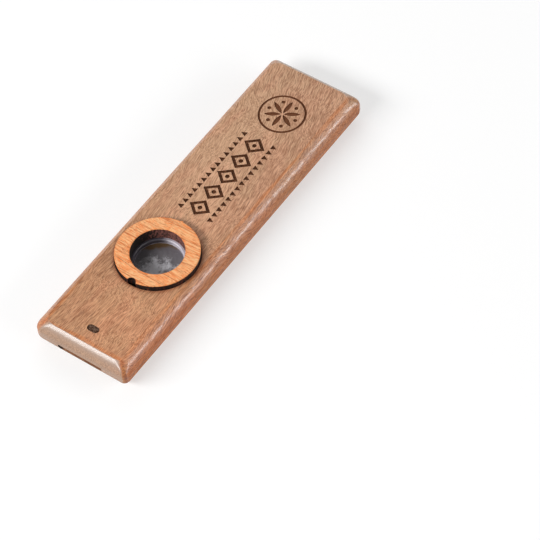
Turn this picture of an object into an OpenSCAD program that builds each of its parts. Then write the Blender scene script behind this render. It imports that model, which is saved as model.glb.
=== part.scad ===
// Flat bar kazoo. Two hardwood boards are glued face to face, with an airway routed
// between them that runs from the mouth end to the outlet. A round seat cut down into the
// upper board holds a membrane on a plastic frame, and a wooden ring presses it down.
// X runs from the mouth end to the outlet, Y across the bar, and Z up from its lower face.

/* [Bar] */
// Length of the bar
body_l = 120; // [96:1:160]
// Width of the bar
body_w = 32.8; // [29:0.2:44]
// Thickness of the lower board
lower_t = 4.4; // [3.8:0.1:6]
// Thickness of the upper board
upper_t = 4.8; // [4.2:0.1:6]
// Radius of the rounding along the bar's edges
edge_r = 3.6; // [1.5:0.1:4]
// Radius of the bar's upright corner edges
corner_r = 1.5; // [0.5:0.1:6]

/* [Airway] */
// Width of the airway between the boards
airway_w = 15.4; // [10:0.2:20]
// Depth of the airway, cut into the lower board
airway_h = 1.4; // [0.8:0.1:2.2]
// Radius in the airway's lower corners
airway_r = 0.6; // [0.2:0.1:0.7]

/* [Membrane seat] */
// Distance from the mouth end to the centre of the seat
seat_from_mouth = 38.2; // [24:0.2:60]
// Thickness of the ledge left between the seat and the airway
ledge_t = 0.9; // [0.6:0.1:1.6]
// Width of the ledge that shows inside the membrane frame
ledge_lip = 0.4; // [0.2:0.1:1]
// Gap all round between the retaining ring and the seat
ring_gap = 0.1; // [0.05:0.01:0.2]
// Gap all round between the membrane frame and the seat
frame_gap = 0.25; // [0.1:0.05:0.4]
// Width of the eased rim of the seat
seat_ease = 0.2; // [0.1:0.05:0.4]

/* [Retaining ring] */
// Outer radius of the ring
ring_or = 12.55; // [11:0.05:13.5]
// Width of the ring, from its bore to its rim
ring_w = 4.45; // [3:0.05:6]
// Thickness of the ring
ring_t = 4; // [3:0.1:6]
// Width of the ring's eased edges
ring_ease = 0.15; // [0.05:0.05:0.4]
// Radius of the pry notch in the ring's rim
notch_r = 1.5; // [0.8:0.1:2.5]
// Depth of the pry notch
notch_depth = 1.2; // [0.5:0.1:1.5]
// Radius of the small nub that cutting leaves on the rim
nub_r = 0.6; // [0.4:0.1:1]
// How far the nub stands out from the rim
nub_out = 0.3; // [0.1:0.05:0.4]

/* [Membrane] */
// Width of the membrane frame that shows inside the ring's bore
frame_lip = 0.8; // [0.4:0.1:1.2]
// Height of the membrane frame
frame_h = 1.6; // [1:0.1:2.4]
// Width of the frame's eased edges
frame_ease = 0.25; // [0.1:0.05:0.4]
// Thickness of the film
film_t = 0.1; // [0.05:0.05:0.2]
// Width of the frame's lower face outside the film
film_margin = 0.4; // [0.2:0.1:1]

/* [Burnt mark] */
// Length of the oval mark, across the bar
mark_l = 3.9; // [2.8:0.1:6]
// Width of the oval mark, along the bar
mark_w = 2.2; // [1:0.1:2.6]
// Depth of the oval mark
mark_depth = 0.25; // [0.1:0.05:0.5]
// Distance from the mouth end to the middle of the mark
mark_from_mouth = 7.4; // [6:0.1:10]

/* [Hidden] */
$fn = 96;

// Angles, seen from above, of the pry notch and of the nub on the ring's rim
notch_angle = 180;
nub_angle = 2;
// Length by which a cut runs past the face that it opens
overrun = 1;

body_top = lower_t + upper_t;
seat_x = seat_from_mouth - body_l / 2;
seat_r = ring_or + ring_gap;
seat_floor = lower_t + ledge_t;
ring_ir = ring_or - ring_w;
frame_ir = ring_ir - frame_lip;
frame_or = seat_r - frame_gap;
film_r = frame_or - film_margin;
sound_hole_r = frame_ir - ledge_lip;
frame_z = seat_floor + film_t;
ring_z = frame_z + frame_h;
ring_top = ring_z + ring_t;

// Section of a board w wide and t thick, lying on Y = 0, with its upper edges rounded
module board_section(w, t) {
    intersection() {
        translate([-w / 2, 0]) square([w, t]);
        union() {
            translate([-w / 2, 0]) square([w, t - edge_r]);
            translate([edge_r - w / 2, 0]) square([w - 2 * edge_r, t]);
            for (side = [-1, 1])
                translate([side * (w / 2 - edge_r), t - edge_r]) circle(r = edge_r);
        }
    }
}

// Outline of the bar, seen from above
module board_plan() {
    union() {
        square([body_l, body_w - 2 * corner_r], center = true);
        square([body_l - 2 * corner_r, body_w], center = true);
        for (end = [-1, 1], side = [-1, 1])
            translate([end * (body_l / 2 - corner_r), side * (body_w / 2 - corner_r)])
                circle(r = corner_r);
    }
}

// A board of thickness t that lies on Z = 0. Its upper edges are rounded along and across,
// and the roundings meet in a mitre at each corner.
module board(t) {
    intersection() {
        rotate([90, 0, 90])
            linear_extrude(body_l + 2 * overrun, center = true) board_section(body_w, t);
        rotate([90, 0, 0])
            linear_extrude(body_w + 2 * overrun, center = true) board_section(body_l, t);
        translate([0, 0, -overrun]) linear_extrude(t + 2 * overrun) board_plan();
    }
}

// The trough of the airway, open at the glued face and at both ends of the bar
module airway_cut() {
    translate([0, 0, lower_t]) rotate([90, 0, 90])
        linear_extrude(body_l + 2 * overrun, center = true) {
            translate([-airway_w / 2, airway_r - airway_h])
                square([airway_w, airway_h - airway_r + overrun]);
            translate([airway_r - airway_w / 2, -airway_h])
                square([airway_w - 2 * airway_r, airway_h + overrun]);
            for (side = [-1, 1])
                translate([side * (airway_w / 2 - airway_r), airway_r - airway_h])
                    circle(r = airway_r);
        }
}

// The stepped seat: a bore for the frame and the ring, an eased rim and the sound hole
module seat_cut() {
    translate([seat_x, 0, 0]) rotate_extrude() polygon([
        [0, lower_t - overrun],
        [sound_hole_r, lower_t - overrun],
        [sound_hole_r, seat_floor],
        [seat_r, seat_floor],
        [seat_r, body_top - seat_ease],
        [seat_r + seat_ease + overrun, body_top + overrun],
        [0, body_top + overrun],
    ]);
}

// The shallow oval mark near the mouth end
module mark_cut() {
    run = mark_l - mark_w;
    translate([mark_from_mouth - body_l / 2, 0, body_top - mark_depth])
        linear_extrude(mark_depth + overrun) {
            square([mark_w, run], center = true);
            for (side = [-1, 1])
                translate([0, side * run / 2]) circle(d = mark_w);
        }
}

// Lower board, turned over so that its rounded edges face down
module lower_body() {
    color([0.70, 0.51, 0.38])
        difference() {
            translate([0, 0, lower_t]) mirror([0, 0, 1]) board(lower_t);
            airway_cut();
        }
}

// Upper board, the roof of the airway, with the seat and the mark
module upper_body() {
    color([0.75, 0.55, 0.41])
        difference() {
            translate([0, 0, lower_t]) board(upper_t);
            seat_cut();
            mark_cut();
        }
}

// Film that the voice makes buzz, stretched over the sound hole
module membrane_film() {
    color([0.55, 0.53, 0.55])
        translate([seat_x, 0, seat_floor]) cylinder(r = film_r, h = film_t);
}

// Plastic frame that carries the film on its lower face
module membrane_frame() {
    color([0.82, 0.81, 0.88])
        translate([seat_x, 0, frame_z]) rotate_extrude() polygon([
            [frame_ir, 0],
            [frame_or, 0],
            [frame_or, frame_h - frame_ease],
            [frame_or - frame_ease, frame_h],
            [frame_ir + frame_ease, frame_h],
            [frame_ir, frame_h - frame_ease],
        ]);
}

// Retaining ring with eased edges, a pry notch and the nub left by cutting
module retaining_ring() {
    color([0.95, 0.63, 0.42])
        translate([seat_x, 0, ring_z])
            difference() {
                union() {
                    rotate_extrude() polygon([
                        [ring_ir, 0],
                        [ring_or - ring_ease, 0],
                        [ring_or, ring_ease],
                        [ring_or, ring_t - ring_ease],
                        [ring_or - ring_ease, ring_t],
                        [ring_ir + ring_ease, ring_t],
                        [ring_ir, ring_t - ring_ease],
                    ]);
                    nub();
                }
                rotate([0, 0, notch_angle])
                    translate([ring_or + notch_r - notch_depth, 0, -overrun])
                        cylinder(r = notch_r, h = ring_t + 2 * overrun);
            }
}

// Nub on the part of the rim that stands above the bar
module nub() {
    base = body_top + ring_gap - ring_z;
    rotate([0, 0, nub_angle])
        translate([ring_or + nub_out - nub_r, 0, base])
            cylinder(r = nub_r, h = ring_t - ring_ease - base);
}

lower_body();
upper_body();
membrane_film();
membrane_frame();
retaining_ring();
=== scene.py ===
"""Finish of a flat wooden bar kazoo: lacquered boards, engraved band, charred ring and film."""

from functools import cached_property
from math import copysign, cos, hypot, pi, radians, sin, tau

import bmesh
import bpy
from bpy.props import FloatProperty, FloatVectorProperty, IntProperty, PointerProperty
from mathutils import Matrix, Quaternion, Vector, noise


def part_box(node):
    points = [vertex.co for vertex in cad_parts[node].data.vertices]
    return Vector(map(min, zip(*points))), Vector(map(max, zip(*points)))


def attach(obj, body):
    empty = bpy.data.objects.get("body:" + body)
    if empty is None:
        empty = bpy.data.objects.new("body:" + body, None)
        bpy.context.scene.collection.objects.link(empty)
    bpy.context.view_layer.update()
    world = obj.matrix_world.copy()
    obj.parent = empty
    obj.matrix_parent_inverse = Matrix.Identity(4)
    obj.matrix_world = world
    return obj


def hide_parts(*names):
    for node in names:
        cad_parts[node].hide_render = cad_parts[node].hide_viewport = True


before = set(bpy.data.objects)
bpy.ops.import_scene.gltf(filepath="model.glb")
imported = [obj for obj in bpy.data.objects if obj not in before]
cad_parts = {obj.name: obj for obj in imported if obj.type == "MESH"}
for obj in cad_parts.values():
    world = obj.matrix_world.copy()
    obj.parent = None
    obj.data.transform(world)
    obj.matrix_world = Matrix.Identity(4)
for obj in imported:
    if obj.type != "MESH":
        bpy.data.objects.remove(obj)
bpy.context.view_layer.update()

bl_info = {
    "name": "Bar kazoo finish",
    "version": (1, 0, 0),
    "blender": (4, 5, 0),
    "location": "View3D > Sidebar > Kazoo",
    "description": "Dresses a flat wooden bar kazoo with wood, scorched edges, plastic and film",
    "category": "Object",
}

MM = 0.001
UPPER_LOW, UPPER_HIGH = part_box("upper_body")
RING_LOW, RING_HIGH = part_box("retaining_ring")
HOLDER_LOW, HOLDER_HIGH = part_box("membrane_frame")
FILM_LOW, FILM_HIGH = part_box("membrane_film")
SEAT_X = (HOLDER_LOW.x + HOLDER_HIGH.x) / 2
HALF_LENGTH = UPPER_HIGH.x
HALF_WIDTH = UPPER_HIGH.y
BOARD_TOP = UPPER_HIGH.z
SEAM = UPPER_LOW.z
# The ring's outer radius in millimetres
RING_RIM = (RING_HIGH.y - RING_LOW.y) / 2 / MM
# Where each wood piece's grain is taken from, in millimetres
LOWER_GRAIN = (140.0, 3.0, 20.0)
UPPER_GRAIN = (0.0, 0.0, 0.0)
RING_GRAIN = (31.0, 7.0, 3.0)
# The bar's corners, anticlockwise from the outlet's left one: the signs of X and Y, and
# what sanding adds to the radius
CORNERS = ((1, 1, 0.0), (-1, 1, 1.1 * MM), (-1, -1, 0.0), (1, -1, 1.1 * MM))
# In degrees, where each arc of the rounded edge starts and the last one stops
EDGE_TURNS = (0.0, 25.0, 45.0, 53.0, 90.0)
# How many points go round each kind of circle
TURNED_POINTS = 96
MARK_POINTS = 48
LOZENGE_DOT_POINTS = 24
ROSETTE_DOT_POINTS = 20
# Steps of a quarter turn in the airway's corners, and rings of faces in the film
AIRWAY_STEPS = 6
FILM_RINGS = 44
# Half a triangle's base, as a share of their spacing, and the way out to the dots of the
# rosette, as a share of a petal
HALF_TOOTH = 0.38
DOT_REACH = 0.8
# The film is free to wrinkle within this share of the sound hole's radius
FREE_SHARE = 0.97
# Edges sharper than this look sharp
SHARP_BOARD_EDGE = radians(32)
SHARP_FILM_EDGE = radians(40)
# How far the floor's opening stays inside the bar's flat underside, which hides it
OPENING_MARGIN = 0.4 * MM
# From each lamp to its aim
LAMP_DISTANCE = 0.8
# Slots of a board's materials
WOOD, BARE, BURNT = 0, 1, 2


def number(name, description, default, low=0.0, high=1.0, **kind):
    """A number for the sidebar."""
    return FloatProperty(name=name, description=description, default=default, min=low,
                         max=high, **kind)


def length(name, description, default, low=0.0, high=1000.0):
    """A length for the sidebar, given in millimetres."""
    return number(name, description, default * MM, low * MM, high * MM,
                  subtype="DISTANCE", unit="LENGTH", precision=5)


def watts(name, description, default):
    """A lamp's power for the sidebar."""
    return number(name, description, default, 0.0, 50.0, unit="POWER")


def colour(name, description, default):
    """A linear colour for the sidebar."""
    return FloatVectorProperty(
        name=name, description=description, default=default, size=3, min=0.0, max=1.2,
        soft_max=1.0, subtype="COLOR")


class KazooSizes(bpy.types.PropertyGroup):
    """Sizes of what the finish adds to the boards, the ring and the film."""

    edge_foot: length("Edge, foot", "Rounding where the bar's side turns in", 2.5)
    edge_flank: length("Edge, flank", "Rounding below the edge's facet", 5.85)
    edge_facet: length("Edge, facet", "Rounding of the edge's nearly flat facet", 8.28)
    edge_brow: length("Edge, brow", "Rounding from the facet into the flat face", 0.45)
    corner_low: length("Corner, middle", "Corner radius half way up the bar's side", 1.5)
    corner_high: length("Corner, face", "Corner radius at the bar's flat faces", 2.6)
    seam_groove: length("Seam groove", "Bevel of each board at the glued seam", 0.06)
    airway_width: length("Airway width", "Width of the airway", 15.4)
    airway_height: length("Airway height", "Depth of the airway", 1.4)
    airway_radius: length("Airway radius", "Rounding in the airway's lower corners", 0.6)
    seat_gap: length("Seat gap", "Gap from the membrane frame to the seat", 0.25)
    ring_width: length("Ring width", "Width of the ring, from its bore to its rim", 4.45)
    seat_ease: length("Seat ease", "Width of the seat's eased rim", 0.2)
    sound_hole: length("Sound hole", "Radius of the hole under the film", 6.9)
    mark_width: length("Mark width", "Size of the oval mark along the bar", 2.2)
    mark_length: length("Mark length", "Size of the oval mark across the bar", 3.9)
    mark_x: length("Mark place", "Middle of the oval mark along the bar", -52.6, -60.0, 60.0)
    engraving_depth: length("Engraving depth", "How deep the ornament is burnt in", 0.25)
    band_start: length("Band start", "Where the band of lozenges begins, along the bar",
                       -4.6, -60.0, 60.0)
    lozenge_pitch: length("Lozenge pitch", "Spacing of the lozenges", 6.9)
    lozenge_height: length("Lozenge height", "Height of a lozenge across the bar", 7.4)
    lozenge_stroke: length("Lozenge stroke", "Width of a lozenge's burnt outline", 0.95)
    lozenge_dot: length("Lozenge dot", "Radius of the dot in a lozenge", 0.7)
    tooth_pitch: length("Tooth pitch", "Spacing of the small triangles", 2.3)
    tooth_height: length("Tooth height", "Height of the small triangles", 1.8)
    tooth_gap: length("Tooth gap", "Gap from the lozenges to the triangles", 0.9)
    rosette_x: length("Rosette place", "Middle of the rosette along the bar", 41.0, -60.0, 60.0)
    petal_length: length("Petal length", "From the rosette's middle to a petal's tip", 5.9)
    petal_gap: length("Petal gap", "Bare wood at each tip of a petal", 0.35)
    rosette_dot: length("Rosette dot", "Radius of the dots between the petals", 0.6)
    rosette_ring: length("Rosette ring", "Outer radius of the line round the rosette", 7.4)
    rosette_stroke: length("Rosette stroke", "Width of its line", 0.7)
    film_crease: length("Film crease", "Height of the film's wrinkles", 0.12)
    film_skin: length("Film skin", "Thickness of the film", 0.05)
    lozenges: IntProperty(name="Lozenges", description="Lozenges in the band", default=5,
                          min=1, max=9)
    petals: IntProperty(name="Petals", description="Petals of the rosette", default=6,
                        min=3, max=12)


class KazooColours(bpy.types.PropertyGroup):
    """Colours of the woods, the scorched wood and the plastics."""

    board_light: colour("Board, light", "Light wood near the mouth end",
                        (0.708, 0.360, 0.188))
    board_dark: colour("Board, dark", "Dark wood near the mouth end", (0.350, 0.142, 0.064))
    board_light_far: colour("Board, light, far end", "Light wood near the outlet",
                            (0.695, 0.400, 0.240))
    board_dark_far: colour("Board, dark, far end", "Dark wood near the outlet",
                           (0.378, 0.184, 0.097))
    board_pore: colour("Board, pores", "Open pores of the boards", (0.17, 0.068, 0.032))
    board_amber: colour("Board, amber", "Tint of the lacquer gathered along the edges",
                        (1.0, 0.75, 0.54))
    board_grey: colour("Board, greyish", "Tint of the board's greyer streaks",
                       (0.97, 1.01, 1.01))
    board_blush: colour("Board, salmon", "Tint of the board's pinker streaks",
                        (1.03, 0.99, 1.0))
    board_ridge: colour("Board, ridge", "Tint of the upright edges at the corners",
                        (0.68, 0.50, 0.24))
    # Painted shade on the bar's long sides
    board_flank_shade: colour("Board, flank", "Tint of the bar's long sides", (0.82, 0.57, 0.39))
    # Partly singe and partly painted contact shade round the ring's foot
    board_singe_and_shade: colour("Board, singed", "Tint of the wood next to the ring",
                        (0.62, 0.42, 0.34))
    board_end: colour("Board, end grain", "Greyed end grain", (0.44, 0.27, 0.175))
    # Painted sheen: paler, greyer colour on the rounded ends, under the highlight
    board_painted_sheen: colour("Board, bloom", "Paler lacquer on the rounded ends",
                        (0.36, 0.275, 0.225))
    ring_light: colour("Ring, light", "Light wood of the ring", (1.0, 0.56, 0.27))
    ring_dark: colour("Ring, dark", "Grain lines of the ring", (0.95, 0.31, 0.10))
    ring_pore: colour("Ring, pores", "Dark streaks of the ring", (0.46, 0.105, 0.03))
    # Char, also used as painted shade at the slot's left end
    char: colour("Char", "Wood burnt black by the laser", (0.012, 0.010, 0.009))
    scorch: colour("Scorch", "Wood burnt brown by the laser", (0.175, 0.066, 0.030))
    ash: colour("Ash", "Greyed specks in the oval mark", (0.21, 0.135, 0.095))
    # Brown of the bore's char; the bore shows more of it on its lit side as painted light
    singe: colour("Singe", "Browned wood of the ring's bore", (0.24, 0.098, 0.08))
    singe_rim: colour("Singe, rim", "Browned wood of the ring's rim", (0.19, 0.048, 0.030))
    ring_toast: colour("Ring, toasted", "Tint of the ring's top along its cut edges",
                       (0.90, 0.72, 0.55))
    # Lit and shaded copies of the frame's plastic, as painted light: milky where the lamp lights
    # the frame, smoky where the ring shades it
    holder_lit: colour("Membrane frame, milky", "Milky plastic", (0.60, 0.555, 0.62))
    holder_shaded: colour("Membrane frame, smoky", "Smoky plastic", (0.06, 0.052, 0.064))
    film: colour("Film", "Thin plastic film", (0.195, 0.18, 0.195))
    film_brown: colour("Film, brown", "Film over the wood of the ledge", (0.16, 0.095, 0.045))
    # Whitish specks on the film: partly haze, partly painted sheen
    film_haze_and_sheen: colour("Film haze", "Whitish specks on the film", (0.74, 0.72, 0.76))


class KazooStage(bpy.types.PropertyGroup):
    """Camera, lamps and floor."""

    camera_distance: length("Camera distance", "From the camera to the floor point it aims at",
                            711.06, 100.0, 5000.0)
    camera_aim_x: length("Aim along the bar", "The camera's aim on the floor", -3.474, -1000.0)
    camera_aim_y: length("Aim across it", "The camera's aim on the floor", -25.934, -1000.0)
    camera_heading: number("Heading", "Direction the camera looks in, from the bar's length",
                           radians(39.366), -pi, pi, subtype="ANGLE")
    camera_elevation: number("Elevation", "Height of the camera above the horizon",
                             radians(53.053), -pi, pi, subtype="ANGLE")
    camera_roll: number("Roll", "Turn of the camera about its own axis",
                        radians(-5.532), -pi, pi, subtype="ANGLE")
    camera_lens: number("Lens", "Focal length of the camera in millimetres",
                        163.33, 10.0, 400.0, unit="CAMERA")
    floor_size: length("Floor size", "Side of the floor", 6000.0, 500.0, 20000.0)
    lit_reach: length("Lit reach", "How far the lamps light the floor fully", 350.0)
    unlit_reach: length("Unlit reach", "From where the lamps hardly light the floor",
                        1300.0, 0.0, 5000.0)
    floor_glow: number("Floor glow", "Share of the floor's white that isn't from the lamps",
                       0.5, subtype="FACTOR")
    world_light: number("World light", "Strength of the light from all round", 0.15, 0.0, 2.0)
    main_power: watts("Main light", "Power of the low lamp on the left", 7.0)
    side_power: watts("Side light", "Power of the low lamp on the right", 4.7)
    back_power: watts("Back light", "Power of the low lamp behind the bar", 2.3)
    under_power: watts("Under light", "Power of the lamp under the floor", 4.5)


def sizes():
    return bpy.context.scene.kazoo_sizes


def colours():
    return bpy.context.scene.kazoo_colours


def stage_values():
    return bpy.context.scene.kazoo_stage


BLACK, GREY, WHITE = ((tone, tone, tone, 1.0) for tone in (0.0, 0.5, 1.0))


class Tree:
    """Short ways to add and wire nodes in a material or a node group."""

    def __init__(self, tree):
        self.tree = tree

    def feed(self, socket, value):
        """Links an output to a socket, or sets the socket to a fixed value."""
        if isinstance(value, bpy.types.NodeSocket):
            self.tree.links.new(value, socket)
        elif socket.type == "RGBA":
            socket.default_value = (*value[:3], 1.0)
        else:
            socket.default_value = value

    def wire(self, node, **inputs):
        """Feeds a node's inputs by name, an underscore standing for a space."""
        for name, value in inputs.items():
            self.feed(node.inputs[name.replace("_", " ")], value)
        return node

    def node(self, kind, settings=None, **inputs):
        """Adds a node with its settings, and feeds its inputs by name."""
        made = self.tree.nodes.new(kind)
        for name, value in (settings or {}).items():
            setattr(made, name, value)
        return self.wire(made, **inputs)

    def group(self, name, **inputs):
        """Places a shared node group, and gives its outputs."""
        return self.node("ShaderNodeGroup", {"node_tree": groups()[name]}, **inputs).outputs

    def pair(self, kind, settings, a, b):
        """A node that makes one output of two inputs."""
        made = self.node(kind, settings)
        self.feed(made.inputs[0], a)
        self.feed(made.inputs[1], b)
        return made.outputs[0]

    def math(self, operation, a, b=0.0):
        return self.pair("ShaderNodeMath", {"operation": operation}, a, b)

    def plus(self, a, b):
        return self.math("ADD", a, b)

    def minus(self, a, b):
        return self.math("SUBTRACT", a, b)

    def times(self, a, b):
        return self.math("MULTIPLY", a, b)

    def greater(self, a, b):
        return self.math("MAXIMUM", a, b)

    def remainder(self, value):
        """What a share leaves of 1."""
        return self.math("SUBTRACT", 1.0, value)

    def size(self, value):
        return self.math("ABSOLUTE", value)

    def square(self, value):
        return self.math("POWER", value, 2.0)

    def root(self, value):
        return self.math("POWER", value, 0.5)

    def swing(self, value, weight):
        """A noise value as a swing about zero, times a weight."""
        return self.times(self.minus(value, 0.5), weight)

    def scale(self, vector, factors):
        """A vector or colour with each part multiplied by its own factor."""
        return self.pair("ShaderNodeVectorMath", {"operation": "MULTIPLY"}, vector, factors)

    def move(self, vector, by):
        return self.pair("ShaderNodeVectorMath", {"operation": "ADD"}, vector, by)

    def vector(self, x, y, z):
        return self.node("ShaderNodeCombineXYZ", X=x, Y=y, Z=z).outputs[0]

    def parts(self, vector):
        return self.node("ShaderNodeSeparateXYZ", Vector=vector).outputs

    def noise(self, place, along, across, deep=None, detail=2.0, roughness=0.5,
              distortion=0.0):
        """Noise with so many waves a millimetre along X, along Y and along Z."""
        stretch = (along, across, across if deep is None else deep)
        return self.node("ShaderNodeTexNoise", Vector=self.scale(place, stretch), Scale=1.0,
                         Detail=detail, Roughness=roughness,
                         Distortion=distortion).outputs["Fac"]

    def ramp(self, value, low, high, to_low=0.0, to_high=1.0, smooth=True):
        """A value taken from the range low to high into the range to_low to to_high."""
        kind = "SMOOTHSTEP" if smooth else "LINEAR"
        return self.node("ShaderNodeMapRange", {"interpolation_type": kind, "clamp": True},
                         Value=value, From_Min=low, From_Max=high, To_Min=to_low,
                         To_Max=to_high).outputs[0]

    def fade(self, value, low, high, full=1.0):
        """Full below low, nothing above high."""
        return self.ramp(value, low, high, full, 0.0)

    def mix(self, factor, a, b):
        """A colour between a and b."""
        made = self.node("ShaderNodeMix", {"data_type": "RGBA", "clamp_factor": True})
        for index, value in ((0, factor), (6, a), (7, b)):
            self.feed(made.inputs[index], value)
        return made.outputs[2]

    def tint(self, mask, base, factors):
        """A colour multiplied by a tint where the mask says."""
        return self.mix(mask, base, self.scale(base, factors))

    def bump(self, height, strength, depth):
        """A normal from a height, over a depth in millimetres."""
        return self.node("ShaderNodeBump", Strength=strength, Distance=depth * MM,
                         Height=height).outputs[0]


def new_group(name, inputs, outputs):
    """A shader node group that takes a place and more, and its sockets."""
    tree = bpy.data.node_groups.new(name, "ShaderNodeTree")
    tree.interface.new_socket("Place", in_out="INPUT", socket_type="NodeSocketVector")
    for socket, default in inputs.items():
        kind = "NodeSocketColor" if default == GREY else "NodeSocketFloat"
        made = tree.interface.new_socket(socket, in_out="INPUT", socket_type=kind)
        made.default_value = default
    for socket in outputs:
        kind = "NodeSocketColor" if socket == "Color" else "NodeSocketFloat"
        tree.interface.new_socket(socket, in_out="OUTPUT", socket_type=kind)
    entry = tree.nodes.new("NodeGroupInput").outputs
    leave = tree.nodes.new("NodeGroupOutput").inputs
    return Tree(tree), entry, leave


def wood_grain_group():
    """Grain that runs along X, from a place in millimetres: colour, height and shine."""
    t, entry, leave = new_group(
        "Wood grain", {"Light": GREY, "Dark": GREY, "Pore": GREY, "Figure": 1.0,
                       "Flecks": 1.0}, ("Color", "Height", "Shine"))
    place = entry["Place"]
    wander = t.swing(t.noise(place, along=0.045, across=0.03), 9.0)
    curl = t.swing(t.noise(place, along=0.12, across=0.10), 0.9)
    sway = t.plus(wander, curl)
    drawn = t.move(place, t.vector(0.0, sway, sway))

    bands = t.noise(drawn, along=0.010, across=0.16)
    streaks = t.noise(drawn, along=0.11, across=1.7)
    fibres = t.noise(drawn, along=0.32, across=4.4, roughness=0.55)
    mottle = t.noise(place, along=0.45, across=0.45, detail=3.0, roughness=0.6)
    flecks = t.ramp(t.noise(drawn, along=0.45, across=4.6, detail=1.0), 0.56, 0.70)

    darkness = 0.45
    for layer, weight in ((bands, 0.9), (streaks, 1.25), (fibres, 3.2), (mottle, 0.35)):
        darkness = t.plus(t.times(t.swing(layer, weight), entry["Figure"]), darkness)
    wood = t.mix(darkness, entry["Light"], entry["Dark"])
    pores = t.times(flecks, entry["Flecks"])
    t.feed(leave["Color"], t.mix(pores, wood, entry["Pore"]))
    height = t.plus(t.swing(fibres, -0.6), t.swing(streaks, -0.4))
    t.feed(leave["Height"], t.minus(height, t.times(pores, 0.8)))
    t.feed(leave["Shine"], t.plus(t.times(streaks, 0.5), t.times(fibres, 0.5)))


def scorch_group():
    """Wood burnt by a laser, from a place in millimetres: colour and height."""
    t, entry, leave = new_group(
        "Laser scorch", {"Char": GREY, "Brown": GREY, "Brownness": 0.5}, ("Color", "Height"))
    smoke = t.noise(entry["Place"], along=0.9, across=0.9, detail=3.0, roughness=0.6)
    specks = t.noise(entry["Place"], along=2.1, across=2.1, deep=1.2, detail=3.0,
                     roughness=0.65)
    tone = t.plus(t.times(smoke, 0.6), t.times(specks, 1.7))
    tone = t.ramp(t.plus(t.minus(tone, 1.5), entry["Brownness"]), 0.05, 0.65)
    t.feed(leave["Color"], t.mix(tone, entry["Char"], entry["Brown"]))
    t.feed(leave["Height"], specks)


def edge_group():
    """Where amber lacquer gathers: stripes along the bar's edges, from a place in mm."""
    t, entry, leave = new_group(
        "Amber edges", {"Flat length": 57.0, "Flat width": 13.5}, ("Mask",))
    at = t.parts(entry["Place"])
    lines = []
    for part, flat, along, across in (("X", "Flat length", 0.9, 0.16),
                                      ("Y", "Flat width", 0.045, 1.1)):
        stripes = t.noise(entry["Place"], along, across, detail=3.0, roughness=0.6)
        past = t.plus(t.minus(t.size(at[part]), entry[flat]), t.swing(stripes, 2.0))
        line = t.times(t.ramp(past, -1.5, -0.1), t.ramp(past, 0.0, 0.7, 1.0, 0.12))
        lines.append(t.times(line, t.ramp(stripes, 0.38, 0.6, 0.15, 1.0)))
    end, side = lines
    near_mouth = t.fade(at["X"], -52.0, -34.0)
    right_side = t.fade(at["Y"], -12.0, -6.0)
    side = t.times(side, t.greater(t.plus(near_mouth, 0.15), right_side))
    t.feed(leave["Mask"], t.greater(t.times(end, near_mouth), side))


def groups():
    """The shared node groups, built once."""
    makers = {"Wood grain": wood_grain_group, "Laser scorch": scorch_group,
              "Amber edges": edge_group}
    for name, maker in makers.items():
        if name not in bpy.data.node_groups:
            maker()
    return bpy.data.node_groups


class Surface(Tree):
    """A new material's nodes, with the surface's place and direction on the object."""

    def __init__(self, name):
        self.material = bpy.data.materials.new(name)
        self.material.use_nodes = True
        super().__init__(self.material.node_tree)

    @cached_property
    def here(self):
        """The place, in millimetres."""
        place = self.node("ShaderNodeTexCoord").outputs["Object"]
        return self.scale(place, (1 / MM,) * 3)

    @cached_property
    def at(self):
        return self.parts(self.here)

    @cached_property
    def facing(self):
        return self.parts(self.node("ShaderNodeTexCoord").outputs["Normal"])

    @cached_property
    def along(self):
        """Millimetres along the bar from the seat's middle."""
        return self.minus(self.at["X"], SEAT_X / MM)

    @cached_property
    def off_axis(self):
        """The square of the distance from the seat's axis."""
        return self.plus(self.square(self.along), self.square(self.at["Y"]))

    def finish(self, **inputs):
        """Wires the Principled shader, and gives the material."""
        self.wire(self.tree.nodes["Principled BSDF"], **inputs)
        return self.material


def board_grain(t, offset):
    """Grain of a board, which leans and bends, and turns paler towards the outlet."""
    c = colours()
    x = t.at["X"]
    far = t.ramp(x, -45.0, 15.0)
    bend = t.times(x, t.plus(t.times(x, -0.0020), -0.13))
    return t.group("Wood grain",
                   Place=t.move(t.move(t.here, offset), t.vector(0.0, bend, 0.0)),
                   Light=t.mix(far, c.board_light, c.board_light_far),
                   Dark=t.mix(far, c.board_dark, c.board_dark_far), Pore=c.board_pore,
                   Figure=t.ramp(x, 22.0, 48.0, 0.93, 1.5), Flecks=0.7)


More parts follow.
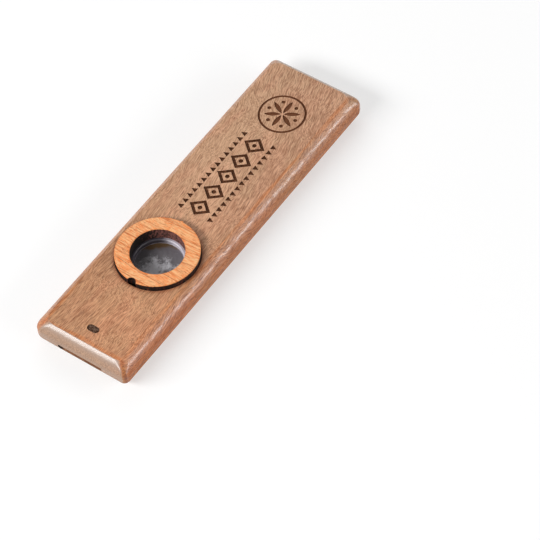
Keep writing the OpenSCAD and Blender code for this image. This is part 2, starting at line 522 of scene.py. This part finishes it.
def board_tints(t, ridge, wood):
    """The wood with its streaks, amber edges, painted shade on the long sides, darker corners,
    and singe with painted contact shade round the ring.
    """
    c = colours()
    x, y = t.at["X"], t.at["Y"]
    left_of_mouth = t.times(t.fade(x, -50.0, -34.0), t.ramp(y, -2.0, 9.0))
    dim = t.minus(t.ramp(x, 10.0, 60.0, 1.03, 0.95), t.times(left_of_mouth, 0.12))
    wood = t.scale(wood, t.vector(dim, dim, dim))
    blush = t.noise(t.here, along=0.07, across=0.20, detail=3.0, roughness=0.6)
    blush = t.plus(blush, t.ramp(y, -14.0, 14.0, 0.07, -0.07, smooth=False))
    wood = t.scale(wood, t.mix(t.ramp(blush, 0.36, 0.64), c.board_grey, c.board_blush))
    edges = t.group("Amber edges", Place=t.here,
                    Flat_length=(HALF_LENGTH - edge_reach()) / MM,
                    Flat_width=(HALF_WIDTH - edge_reach()) / MM)
    # Painted shade: the long sides are tinted darker and warmer than the top
    flank = t.ramp(t.size(t.facing["Y"]), 0.5, 0.9, 0.0, 0.85)
    # Part singe, part painted contact shade: a darker band round the ring's foot on the top face
    singe_and_shade = t.times(t.fade(t.root(t.off_axis), RING_RIM + 0.2, RING_RIM + 1.5),
                     t.ramp(t.facing["Z"], 0.5, 0.9, 0.0, 0.75))
    corner_tint = t.mix(t.ramp(y, -8.0, 0.0), c.board_ridge, c.board_amber)
    for mask, tint in ((edges["Mask"], c.board_amber), (flank, c.board_flank_shade),
                       (singe_and_shade, c.board_singe_and_shade), (ridge, corner_tint)):
        wood = t.tint(mask, wood, tint)
    return wood


def board_end_grain(t):
    """Specked end grain, plainer where the ends are rounded, where a paler, greyer colour paints
    the sheen under the highlight.
    """
    c = colours()
    rounded = t.ramp(t.size(t.facing["Z"]), 0.45, 0.8)
    specks = t.ramp(t.noise(t.here, along=2.2, across=2.6), 0.35, 0.65)
    specks = t.mix(t.times(rounded, 0.75), specks, GREY)
    end_grain = t.mix(specks, c.board_end, [part * 0.58 for part in c.board_end])
    # Painted sheen under the highlight on the rounded ends
    return t.mix(t.times(rounded, 0.8), end_grain, c.board_painted_sheen)


def board_coat(t, lengthwise):
    """How strongly the lacquer shines: in streaks along the edges, hardly on the flat top."""
    streaks = t.ramp(t.noise(t.here, along=0.35, across=1.4), 0.38, 0.62, 0.35, 1.0)
    coat = t.greater(streaks, t.fade(t.at["X"], -54.0, -38.0, 0.9))
    coat = t.times(coat, t.ramp(t.at["Y"], 4.0, 14.0, 1.0, 0.6))
    flatness = t.ramp(t.size(t.facing["Z"]), 0.94, 0.995, 1.0, 0.2)
    coat = t.times(coat, t.times(flatness, t.ramp(t.facing["Z"], 0.3, 0.55, 0.1, 1.0)))
    return t.plus(t.times(coat, lengthwise), t.times(t.remainder(lengthwise), 0.64))


def board_wood(name, offset):
    """Lacquered wood of one board. The offset gives each board a grain of its own."""
    c, t = colours(), Surface(name)
    endwise = t.size(t.facing["X"])
    slant = t.math("MINIMUM", endwise, t.size(t.facing["Y"]))
    ridge = t.ramp(slant, 0.16, 0.42)
    level = t.root(t.remainder(t.square(t.facing["Z"])))
    corner = t.greater(ridge, t.ramp(t.math("DIVIDE", slant, level), 0.25, 0.6))
    lengthwise = t.fade(endwise, 0.03, 0.22)

    grain = board_grain(t, offset)
    wood = board_tints(t, ridge, grain["Color"])
    end = t.times(t.ramp(endwise, 0.18, 0.42, 0.0, 0.85), t.remainder(corner))
    wood = t.mix(end, wood, board_end_grain(t))
    from_seam = t.size(t.minus(t.at["Z"], SEAM / MM))
    glue_line = t.times(t.fade(from_seam, 0.05, 0.2, 0.7), lengthwise)
    half = HALF_LENGTH / MM
    smoothed = t.ramp(t.size(t.at["X"]), half - 10.0, half - 3.0, 1.0, 0.02)
    return t.finish(
        Base_Color=t.mix(glue_line, wood, c.board_pore),
        Roughness=t.ramp(grain["Shine"], 0.3, 0.7, 0.55, 0.72, smooth=False),
        Coat_Weight=board_coat(t, lengthwise), Coat_Roughness=0.21, Coat_IOR=1.6,
        Specular_IOR_Level=0.3,
        Normal=t.bump(t.times(grain["Height"], smoothed), strength=0.3, depth=0.05))


def bare_wood():
    """Unlacquered wood of the seat and the airway, browned where the cutter ran, and painted
    shade at the slot's left end.
    """
    c, t = colours(), Surface("bare_wood")
    grain = t.group("Wood grain", Place=t.here, Light=c.board_light, Dark=c.board_dark,
                    Pore=c.board_pore, Figure=1.0, Flecks=0.6)
    burn = t.noise(t.here, along=0.25, across=0.25, deep=0.8, detail=3.0)
    browned = t.mix(t.ramp(burn, 0.35, 0.7, 0.25, 0.75), grain["Color"], c.scorch)
    # Painted shade: the slot's left end is painted char black, where its rounded wall lies in
    # shade
    slot_end_shade = t.times(t.fade(t.at["X"], -54.0, -50.0, 0.95),
                            t.ramp(t.at["Y"], 5.6, 7.0))
    return t.finish(Base_Color=t.mix(slot_end_shade, browned, c.char), Roughness=0.75,
                    Normal=t.bump(grain["Height"], strength=0.5, depth=0.1))


def burnt_engraving():
    """Dark brown floor and walls of the ornament, greyer in the oval mark."""
    c, t = colours(), Surface("burnt_engraving")
    in_mark = t.fade(t.at["X"], -48.0, -44.0)
    burn = t.group("Laser scorch", Place=t.here, Char=[part * 0.3 for part in c.scorch],
                   Brown=t.mix(in_mark, c.scorch, c.ash),
                   Brownness=t.ramp(t.at["X"], 28.0, 36.0, 0.62, 0.95))
    return t.finish(Base_Color=burn["Color"], Roughness=0.8, Specular_IOR_Level=0.1,
                    Normal=t.bump(burn["Height"], strength=0.8, depth=0.08))


def ring_top(t, out, bore):
    """Sanded wood of the ring's top, with growth lines and toasted edges, and its height."""
    c = colours()
    x, y = t.at["X"], t.at["Y"]
    turned = t.move(t.vector(t.plus(y, t.times(x, 0.1)), x, t.at["Z"]), RING_GRAIN)
    grain = t.group("Wood grain", Place=turned, Light=c.ring_light, Dark=c.ring_dark,
                    Pore=c.ring_pore, Figure=1.4, Flecks=0.6)
    drift = t.noise(turned, along=0.02, across=0.16, detail=1.0)
    years = t.plus(t.times(t.parts(turned)["Y"], 0.30), t.times(drift, 2.2))
    years = t.fade(t.math("FRACT", years), 0.0, 0.11, 0.95)
    years = t.times(years, t.ramp(t.noise(turned, along=0.06, across=0.5),
                                  0.35, 0.55, 0.35, 1.0))
    streaks = t.ramp(t.noise(turned, along=0.12, across=3.4), 0.52, 0.74, 0.0, 0.62)
    top = t.mix(t.greater(years, streaks), grain["Color"], c.ring_pore)
    toasted = t.greater(t.ramp(out, RING_RIM - 0.5, RING_RIM - 0.1),
                        t.fade(out, bore + 0.1, bore + 0.5))
    return t.tint(t.times(toasted, 0.7), top, c.ring_toast), grain["Height"]


def ring_wood():
    """Sanded wood of the ring on its top face, charred on every face that the laser cut; the
    bore's char is painted browner on its lit side and blacker on its shaded side.
    """
    c, t = colours(), Surface("ring_wood")
    out = t.root(t.off_axis)
    bore = RING_RIM - sizes().ring_width / MM
    top, height = ring_top(t, out, bore)
    outside = t.ramp(out, bore + 1.0, RING_RIM - 1.0)
    # Painted light: the bore's char is browner towards the outlet, where the lamp lights it, and
    # blacker towards the mouth, where it is in shade
    inside = t.times(t.remainder(outside), t.ramp(t.at["X"], -20.5, -13.5, 0.3, 0.78))
    burn = t.group("Laser scorch", Place=t.here, Char=c.char,
                   Brown=t.mix(outside, c.singe, c.singe_rim),
                   Brownness=t.plus(inside, t.times(outside, 0.44)))
    charred = t.fade(t.size(t.facing["Z"]), 0.3, 0.6)
    height = t.plus(height, t.times(burn["Height"], charred))
    return t.finish(Base_Color=t.mix(charred, top, burn["Color"]),
                    Roughness=t.ramp(charred, 0.0, 1.0, 0.5, 0.6, smooth=False),
                    Specular_IOR_Level=0.12, Normal=t.bump(height, strength=0.4, depth=0.08))


def milky_plastic():
    """Plastic of the membrane frame with painted light: the milky lit copy towards the outlet
    and a painted highlight line at its foot, the smoky shaded copy elsewhere.
    """
    c, t = colours(), Surface("milky_plastic")
    cloud = t.noise(t.here, along=0.5, across=0.5, detail=3.0)
    # Painted light: milky on the side towards the outlet that the lamp lights, smoky on the
    # shaded side
    painted_light_lean = t.plus(t.times(t.along, 0.9), t.times(t.at["Y"], -0.43))
    painted_light_mask = t.ramp(t.plus(painted_light_lean, t.swing(cloud, 3.0)), 4.2, 7.0)
    foot = HOLDER_LOW.z / MM
    # Painted highlight: a thin milky line at the frame's foot
    painted_light_mask = t.greater(painted_light_mask, t.fade(t.at["Z"], foot + 0.15, foot + 0.3, 0.55))
    return t.finish(Base_Color=t.mix(painted_light_mask, c.holder_shaded, c.holder_lit),
                    Roughness=t.ramp(cloud, 0.2, 0.8, 0.28, 0.42, smooth=False),
                    Subsurface_Weight=0.15, Subsurface_Radius=(1.0, 1.0, 1.0),
                    Subsurface_Scale=0.3 * MM, Specular_IOR_Level=0.35)


def membrane_film_material():
    """Thin grey film with whitish specks, partly haze and partly painted sheen, leaning as
    painted light towards the mouth and the middle; browner where the wood shows through it.
    """
    c, t = colours(), Surface("membrane_film")
    y = t.at["Y"]
    specks = t.noise(t.here, along=0.95, across=1.1, deep=0.5, detail=6.0, roughness=0.72,
                     distortion=0.5)
    cloud = t.noise(t.here, along=0.22, across=0.30)
    # Painted light: more whitish specks towards the mouth end, the right side and the middle,
    # fewer on the shaded left side
    painted_light_lean = t.ramp(t.plus(t.along, t.times(y, 0.5)), -5.0, 5.0, 0.15, -0.15, smooth=False)
    painted_light_lean = t.plus(painted_light_lean, t.ramp(t.off_axis, 1.0, 30.0, 0.14, -0.03))
    wisps_and_sheen = t.ramp(t.plus(t.plus(specks, painted_light_lean), t.swing(cloud, 0.8)), 0.42, 0.80)
    brown = t.plus(t.times(t.along, 0.8), t.times(y, 0.6))
    brown = t.ramp(t.plus(brown, t.times(cloud, 5.0)), 6.7, 8.0)
    tone = t.mix(brown, c.film, c.film_brown)
    fine = t.noise(t.here, along=1.6, across=1.6, detail=3.0, distortion=0.8)
    return t.finish(Base_Color=t.mix(wisps_and_sheen, tone, c.film_haze_and_sheen),
                    Roughness=t.ramp(wisps_and_sheen, 0.0, 1.0, 0.20, 0.5, smooth=False),
                    Alpha=t.ramp(wisps_and_sheen, 0.0, 1.0, 0.80, 0.95, smooth=False),
                    Specular_IOR_Level=0.3, Normal=t.bump(fine, strength=0.5, depth=0.1))


def new_object(name, mesh):
    made = bpy.data.objects.new(name, mesh)
    bpy.context.scene.collection.objects.link(made)
    return made


def object_from(shape, name, materials, index=0):
    """Turns a bmesh into an object with those materials, every face in slot index."""
    mesh = bpy.data.meshes.new(name)
    for face in shape.faces:
        face.material_index = index
    shape.to_mesh(mesh)
    shape.free()
    for material in materials:
        mesh.materials.append(material)
    return new_object(name, mesh)


def anticlockwise(points):
    """The points in anticlockwise order, seen from above."""
    area = sum(a[0] * b[1] - b[0] * a[1] for a, b in zip(points, points[1:] + points[:1]))
    return points if area > 0 else points[::-1]


def join(shape, under, over):
    """Joins two loops of equally many corners by a band of faces."""
    for k in range(len(under)):
        after = (k + 1) % len(under)
        shape.faces.new([under[k], under[after], over[after], over[k]])


def add_skin(shape, levels, close=True):
    """Joins outlines of equally many points into a skin, with flat ends if it is closed."""
    rows = [[shape.verts.new(point) for point in level] for level in levels]
    for under, over in zip(rows, rows[1:]):
        join(shape, under, over)
    if close:
        shape.faces.new(rows[0][::-1])
        shape.faces.new(rows[-1])
    return rows


def add_prism(shape, outline, low, high):
    """Adds a closed upright prism."""
    outline = anticlockwise(outline)
    add_skin(shape, [[(x, y, z) for x, y in outline] for z in (low, high)])


def add_frame_prism(shape, outline, hole, low, high):
    """Adds an upright prism with a hole. Outline and hole have equally many points."""
    outline, hole = anticlockwise(outline), anticlockwise(hole)
    corners = [(outline, low), (outline, high), (hole, high), (hole, low)]
    rows = add_skin(shape, [[(x, y, z) for x, y in loop] for loop, z in corners], False)
    join(shape, rows[3], rows[0])


def cut(target, slots):
    """Cuts closed shapes out of the target. The faces that each one cuts take its slot."""
    cutters = []
    for fill, slot in slots.items():
        shape = bmesh.new()
        fill(shape)
        bmesh.ops.recalc_face_normals(shape, faces=shape.faces)
        cutters.append(object_from(shape, "cutter", target.data.materials, slot))
        carve = target.modifiers.new("cut", "BOOLEAN")
        carve.operation = "DIFFERENCE"
        carve.solver = "EXACT"
        carve.material_mode = "INDEX"
        carve.object = cutters[-1]
    ready = target.evaluated_get(bpy.context.evaluated_depsgraph_get())
    mesh = bpy.data.meshes.new_from_object(ready)
    target.modifiers.clear()
    target.data = mesh
    for cutter in cutters:
        bpy.data.objects.remove(cutter)


def smooth(piece, sharp_edge):
    """Smooth shading, apart from edges sharper than an angle."""
    piece.data.shade_smooth()
    piece.data.set_sharp_from_angle(angle=sharp_edge)


def bar_outline(inset, radius, z, steps=10):
    """The bar's outline at one height: a rectangle with rounded corners."""
    points = []
    for quarter, (side_x, side_y, sanded_off) in enumerate(CORNERS):
        rounding = radius + sanded_off
        centre_x = side_x * (HALF_LENGTH - inset - rounding)
        centre_y = side_y * (HALF_WIDTH - inset - rounding)
        for k in range(steps + 1):
            turn = pi / 2 * (quarter + k / steps)
            points.append((centre_x + rounding * cos(turn),
                           centre_y + rounding * sin(turn), z))
    return points


def edge_profile(step=3.5):
    """The rounded edge in section, from the bar's side to its face, as (inset, rise)."""
    s = sizes()
    inset = rise = 0.0
    points = [(inset, rise)]
    radii = (s.edge_foot, s.edge_flank, s.edge_facet, s.edge_brow)
    for radius, start, stop in zip(radii, EDGE_TURNS, EDGE_TURNS[1:]):
        pieces = max(2, round((stop - start) / step))
        for k in range(pieces):
            a = radians(start + (stop - start) * k / pieces)
            b = radians(start + (stop - start) * (k + 1) / pieces)
            inset += radius * (cos(a) - cos(b))
            rise += radius * (sin(b) - sin(a))
            points.append((inset, rise))
    return points


def edge_reach():
    """How far the rounded edge reaches in over the bar's face."""
    return edge_profile()[-1][0]


def board_levels(seam, face):
    """Outlines of a board from the seam to its flat face, whose edges are rounded."""
    s = sizes()
    outward = 1 if face > seam else -1
    levels = [bar_outline(s.seam_groove, s.corner_low, seam),
              bar_outline(0.0, s.corner_low, seam + outward * s.seam_groove)]
    profile = edge_profile()
    reach, height = profile[-1]
    for inset, rise in profile:
        blend = 1 - (1 - inset / reach) ** 2
        radius = s.corner_low + (s.corner_high - s.corner_low) * blend
        levels.append(bar_outline(inset, radius, face - outward * (height - rise)))
    return levels if outward > 0 else levels[::-1]


def circle_points(x, y, radius, count):
    return [(x + radius * cos(tau * k / count),
             y + radius * sin(tau * k / count)) for k in range(count)]


def lozenge_points(x, half_width, half_height):
    return [(x + half_width, 0.0), (x, half_height), (x - half_width, 0.0), (x, -half_height)]


def petal_points(x, gap, radius, angle, count=12):
    """A petal between two arcs whose radius is its length, gap away from both its ends."""
    points = []
    for side in (1, -1):
        centre = Vector((cos(angle - side * pi / 3), sin(angle - side * pi / 3)))
        start = angle + (tau / 3 if side > 0 else -pi / 3)
        for k in range(count):
            turn = start - pi / 3 * k / count
            points.append(centre + Vector((cos(turn), sin(turn))))
    inner = radius - 2 * gap
    shift = Vector((x, 0.0)) + gap * Vector((cos(angle), sin(angle)))
    return [tuple(shift + inner * point) for point in points]


def add_band(shape, low, high):
    """A band of lozenges between two rows of small triangles."""
    s = sizes()
    half_height = s.lozenge_height / 2
    bare_side = s.lozenge_stroke / 3
    half_width = s.lozenge_pitch / 2 - bare_side
    inner = 1 - s.lozenge_stroke * hypot(half_height, half_width) / (half_height * half_width)
    for k in range(s.lozenges):
        x = s.band_start + s.lozenge_pitch * (k + 0.5)
        add_frame_prism(shape, lozenge_points(x, half_width, half_height),
                        lozenge_points(x, half_width * inner, half_height * inner), low, high)
        add_prism(shape, circle_points(x, 0.0, s.lozenge_dot, LOZENGE_DOT_POINTS), low, high)

    band_length = s.lozenge_pitch * s.lozenges
    teeth = round(band_length / s.tooth_pitch)
    foot = half_height + s.tooth_gap
    half_base = s.tooth_pitch * HALF_TOOTH
    for k in range(teeth):
        x = s.band_start + band_length * (k + 0.5) / teeth
        for side in (-1, 1):
            base, tip = side * foot, side * (foot + s.tooth_height)
            add_prism(shape, [(x - half_base, base), (x + half_base, base), (x, tip)],
                      low, high)


def add_rosette(shape, low, high):
    """A rosette of petals with a dot between each two, in a ring."""
    s = sizes()
    reach = s.petal_length * DOT_REACH
    for k in range(s.petals):
        angle = tau * k / s.petals
        add_prism(shape, petal_points(s.rosette_x, s.petal_gap, s.petal_length, angle),
                  low, high)
        between = angle + pi / s.petals
        dot = circle_points(s.rosette_x + reach * cos(between),
                            reach * sin(between), s.rosette_dot, ROSETTE_DOT_POINTS)
        add_prism(shape, dot, low, high)
    outer, bore = (circle_points(s.rosette_x, 0.0, radius, TURNED_POINTS)
                   for radius in (s.rosette_ring, s.rosette_ring - s.rosette_stroke))
    add_frame_prism(shape, outer, bore, low, high)


def add_mark(shape, low, high):
    """The oval mark, with straight sides."""
    s = sizes()
    half_run = (s.mark_length - s.mark_width) / 2
    add_prism(shape, [(s.mark_x + x, y + copysign(half_run, y)) for x, y in
                      circle_points(0.0, 0.0, s.mark_width / 2, MARK_POINTS)], low, high)


def add_ornament(shape):
    """The cutting shape of everything that is burnt into the upper face."""
    depth = sizes().engraving_depth
    for add in (add_band, add_rosette, add_mark):
        add(shape, BOARD_TOP - depth, BOARD_TOP + depth)


def add_turned(shape, profile):
    """Adds a closed solid turned about the seat's axis, from (radius, height) points."""
    add_skin(shape, [[(x, y, z) for x, y in circle_points(SEAT_X, 0.0, radius, TURNED_POINTS)]
                     for radius, z in profile])


def add_well(shape):
    """The cutting shape of the seat: the sound hole, the ledge and the eased rim."""
    s = sizes()
    spare = s.edge_foot
    seat = (HOLDER_HIGH.x - HOLDER_LOW.x) / 2 + s.seat_gap
    ledge = FILM_LOW.z
    add_turned(shape, [(s.sound_hole, SEAM - spare), (s.sound_hole, ledge), (seat, ledge),
                       (seat, BOARD_TOP - s.seat_ease),
                       (seat + s.seat_ease + spare, BOARD_TOP + spare)])


def add_airway(shape):
    """The airway's cutting shape, a trough with rounded lower corners along the bar."""
    s = sizes()
    spare = s.edge_foot
    half = s.airway_width / 2
    floor = SEAM - s.airway_height
    radius = s.airway_radius
    section = [(half, SEAM + spare), (-half, SEAM + spare)]
    for side in (-1, 1):
        for k in range(AIRWAY_STEPS + 1):
            done = k / AIRWAY_STEPS
            turn = pi / 2 * (done if side < 0 else 1 - done)
            section.append((side * (half - radius + radius * cos(turn)),
                            floor + radius - radius * sin(turn)))
    reach = HALF_LENGTH + spare
    add_skin(shape, [[(x, y, z) for y, z in section] for x in (-reach, reach)])


def new_board(name, face, wood, grain, others):
    """A whole board from the seam to its flat face, before anything is cut out of it."""
    shape = bmesh.new()
    add_skin(shape, board_levels(SEAM, face))
    return object_from(shape, name, [board_wood(wood, grain), *others], WOOD)


def dress(node, material):
    """Gives a CAD object one material."""
    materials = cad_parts[node].data.materials
    materials.clear()
    materials.append(material)


class KAZOO_OT_boards(bpy.types.Operator):
    """Shape and lacquer both boards, and burn the ornament into the upper one"""

    bl_idname = "kazoo.boards"
    bl_label = "Boards"

    def execute(self, context):
        others = [bare_wood(), burnt_engraving()]
        lower = new_board("lower_board", 0.0, "lower_wood", LOWER_GRAIN, others)
        cut(lower, {add_airway: BARE})
        upper = new_board("upper_board", BOARD_TOP, "upper_wood", UPPER_GRAIN, others)
        cut(upper, {add_well: BARE, add_ornament: BURNT})
        for board, node in ((lower, "lower_body"), (upper, "upper_body")):
            smooth(board, SHARP_BOARD_EDGE)
            weighted = board.modifiers.new("flat faces", "WEIGHTED_NORMAL")
            weighted.keep_sharp = True
            weighted.weight = 80
            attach(board, "bar")
            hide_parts(node)
        return {"FINISHED"}


class KAZOO_OT_ring(bpy.types.Operator):
    """Finish the retaining ring"""

    bl_idname = "kazoo.ring"
    bl_label = "Retaining ring"

    def execute(self, context):
        dress("retaining_ring", ring_wood())
        return {"FINISHED"}


class KAZOO_OT_membrane(bpy.types.Operator):
    """Finish the membrane frame and stretch the wrinkled film under it"""

    bl_idname = "kazoo.membrane"
    bl_label = "Membrane"

    def execute(self, context):
        dress("membrane_frame", milky_plastic())
        film = stretched_film()
        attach(film, "membrane")
        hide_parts("membrane_film")
        return {"FINISHED"}


def film_height(x, y, free):
    """How far the film stands off its flat plane at a place, by fine and broad wrinkles."""
    reach = hypot(x, y) / free
    if reach >= 1.0:
        return 0.0
    at = Vector((x / MM, y / MM, 0.0))
    broad = noise.noise(at * 0.22 + Vector((3.1, 7.7, 0.4)))
    turned = Vector((at.x * 0.8 + at.y * 0.6, at.y * 0.8 - at.x * 0.6, 0.0))
    folds = noise.noise(Vector((turned.x * 0.25, turned.y * 0.85, 4.2)))
    fine = noise.noise(at * 1.3)
    hold = 1 - reach ** 4
    return sizes().film_crease * hold * (0.8 * broad + folds + 0.25 * fine)


def stretched_film():
    """The wrinkled film: a thin closed sheet, flat where the frame clamps it."""
    s = sizes()
    radius = (FILM_HIGH.x - FILM_LOW.x) / 2
    middle = (FILM_LOW.z + FILM_HIGH.z) / 2
    free = s.sound_hole * FREE_SHARE
    shape = bmesh.new()
    rims = []
    for skin in (middle - s.film_skin / 2, middle + s.film_skin / 2):
        rows = [[shape.verts.new((SEAT_X + x, y, skin + film_height(x, y, free)))
                 for x, y in circle_points(0.0, 0.0, radius * ring / FILM_RINGS,
                                           TURNED_POINTS)]
                for ring in range(1, FILM_RINGS + 1)]
        hub = shape.verts.new((SEAT_X, 0.0, skin + film_height(0.0, 0.0, free)))
        for k in range(TURNED_POINTS):
            after = (k + 1) % TURNED_POINTS
            shape.faces.new([hub, rows[0][k], rows[0][after]])
            for inner, outer in zip(rows, rows[1:]):
                shape.faces.new([inner[k], outer[k], outer[after], inner[after]])
        rims.append(rows[-1])
    join(shape, *rims)
    bmesh.ops.recalc_face_normals(shape, faces=shape.faces)
    film = object_from(shape, "wrinkled_film", [membrane_film_material()])
    smooth(film, SHARP_FILM_EDGE)
    return film


def add_lamp(name, aim, direction, along, sides, power):
    """A soft lamp that shines from a direction on a point, with its first side along a line."""
    data = bpy.data.lights.new(name, "AREA")
    data.shape = "RECTANGLE"
    data.size, data.size_y = sides
    data.energy = power
    lamp = new_object(name, data)
    back = Vector(direction).normalized()
    lamp.location = Vector(aim) + back * LAMP_DISTANCE
    up = back.cross(Vector(along)).normalized()
    lamp.rotation_mode = "QUATERNION"
    lamp.rotation_quaternion = Matrix((up.cross(back), up, back)).transposed().to_quaternion()
    lamp.visible_camera = False


def seen_rays(t):
    """1 for the rays by which the camera, a gloss or a clear body sees the backdrop."""
    rays = t.node("ShaderNodeLightPath").outputs
    seen = t.greater(rays["Is Camera Ray"], rays["Is Glossy Ray"])
    return t.greater(seen, rays["Is Transmission Ray"])


def floor_material():
    """White floor that stays white out to the horizon and keeps the bar's shadow."""
    v, t = stage_values(), Surface("floor")
    away = t.node("ShaderNodeVectorMath", {"operation": "LENGTH"},
                  Vector=t.node("ShaderNodeTexCoord").outputs["Object"]).outputs["Value"]
    glow = t.ramp(away, v.lit_reach, v.unlit_reach, v.floor_glow, 1.0)
    return t.finish(Base_Color=(0.55, 0.55, 0.55), Roughness=0.9, Specular_IOR_Level=0.2,
                    Emission_Color=t.mix(t.times(seen_rays(t), glow), BLACK, WHITE),
                    Emission_Strength=1.0)


def floor_mesh():
    """A square floor with an opening hidden under the bar, for the lamp below it."""
    half = stage_values().floor_size / 2
    hidden = edge_reach() + OPENING_MARGIN
    corners = [(side_x * x, side_y * y, 0.0)
               for x, y in ((half, half), (HALF_LENGTH - hidden, HALF_WIDTH - hidden))
               for side_x, side_y, _ in CORNERS]
    mesh = bpy.data.meshes.new("floor")
    mesh.from_pydata(corners, [], [(k, (k + 1) % 4, 4 + (k + 1) % 4, 4 + k)
                                   for k in range(4)])
    mesh.materials.append(floor_material())
    return mesh


def add_lamps():
    """The photo's lights, aimed at the edges they show on, and one below the floor."""
    v = stage_values()
    middle = (0.0, 0.0, BOARD_TOP)
    mouth_edge = (2 * MM - HALF_LENGTH, 0.0, BOARD_TOP - MM)
    right_edge = (0.0, MM - HALF_WIDTH, BOARD_TOP - MM)
    add_lamp("main_lamp", mouth_edge, direction=(-0.726, 0.382, 0.572),
             along=(0.617, 0.0, 0.787), sides=(0.21, 0.70), power=v.main_power)
    add_lamp("side_lamp", right_edge, direction=(0.465, -0.834, 0.296),
             along=(0.0, 0.335, 0.942), sides=(0.20, 1.25), power=v.side_power)
    add_lamp("back_lamp", middle, direction=(0.676, 0.568, 0.469),
             along=(-0.36, -0.30, 0.883), sides=(0.32, 1.0), power=v.back_power)
    add_lamp("under_lamp", (0.0, 0.0, 0.0), direction=(-0.2, 0.1, -1.0),
             along=(1.0, 0.0, 0.0), sides=(1.0, 1.0), power=v.under_power)


def add_world(scene):
    """A white backdrop for what is seen, and weak even light for what it lights."""
    v = stage_values()
    world = bpy.data.worlds.new("studio")
    scene.world = world
    world.use_nodes = True
    t = Tree(world.node_tree)
    t.wire(world.node_tree.nodes["Background"], Color=WHITE,
           Strength=t.ramp(seen_rays(t), 0.0, 1.0, v.world_light, 1.0))


def add_camera(scene):
    """The photo's camera, fitted to the bar's outline and the ring's edges."""
    v = stage_values()
    data = bpy.data.cameras.new("camera")
    data.lens = v.camera_lens
    data.sensor_width = 36.0
    data.clip_start = 0.01
    data.clip_end = 50.0
    camera = new_object("camera", data)
    level = cos(v.camera_elevation)
    forward = Vector((cos(v.camera_heading) * level,
                      sin(v.camera_heading) * level,
                      -sin(v.camera_elevation)))
    aim = Vector((v.camera_aim_x, v.camera_aim_y, 0.0))
    camera.location = aim - forward * v.camera_distance
    camera.rotation_mode = "QUATERNION"
    roll = Quaternion((0.0, 0.0, 1.0), v.camera_roll)
    camera.rotation_quaternion = forward.to_track_quat("-Z", "Y") @ roll
    scene.camera = camera


class KAZOO_OT_stage(bpy.types.Operator):
    """Set up the floor, the lamps, the world and the camera"""

    bl_idname = "kazoo.stage"
    bl_label = "Stage"

    def execute(self, context):
        floor = new_object("floor", floor_mesh())
        add_world(context.scene)
        add_lamps()
        add_camera(context.scene)
        context.scene.view_settings.view_transform = "Standard"
        return {"FINISHED"}


class KAZOO_PT_finish(bpy.types.Panel):
    """The kazoo's pieces and stage in the sidebar"""

    bl_label = "Kazoo"
    bl_idname = "KAZOO_PT_finish"
    bl_space_type = "VIEW_3D"
    bl_region_type = "UI"
    bl_category = "Kazoo"

    def draw(self, context):
        for operator in OPERATORS:
            self.layout.operator(operator.bl_idname)


OPERATORS = (KAZOO_OT_boards, KAZOO_OT_ring, KAZOO_OT_membrane, KAZOO_OT_stage)
PROPERTIES = {"kazoo_sizes": KazooSizes, "kazoo_colours": KazooColours,
              "kazoo_stage": KazooStage}


def register():
    for kind in (*PROPERTIES.values(), *OPERATORS, KAZOO_PT_finish):
        bpy.utils.register_class(kind)
    for name, kind in PROPERTIES.items():
        setattr(bpy.types.Scene, name, PointerProperty(type=kind))


def unregister():
    for name in PROPERTIES:
        delattr(bpy.types.Scene, name)
    for kind in (KAZOO_PT_finish, *reversed(OPERATORS), *reversed(PROPERTIES.values())):
        bpy.utils.unregister_class(kind)


def main():
    register()
    bpy.ops.kazoo.boards()
    bpy.ops.kazoo.ring()
    bpy.ops.kazoo.membrane()
    bpy.ops.kazoo.stage()


if __name__ == "__main__":
    main()
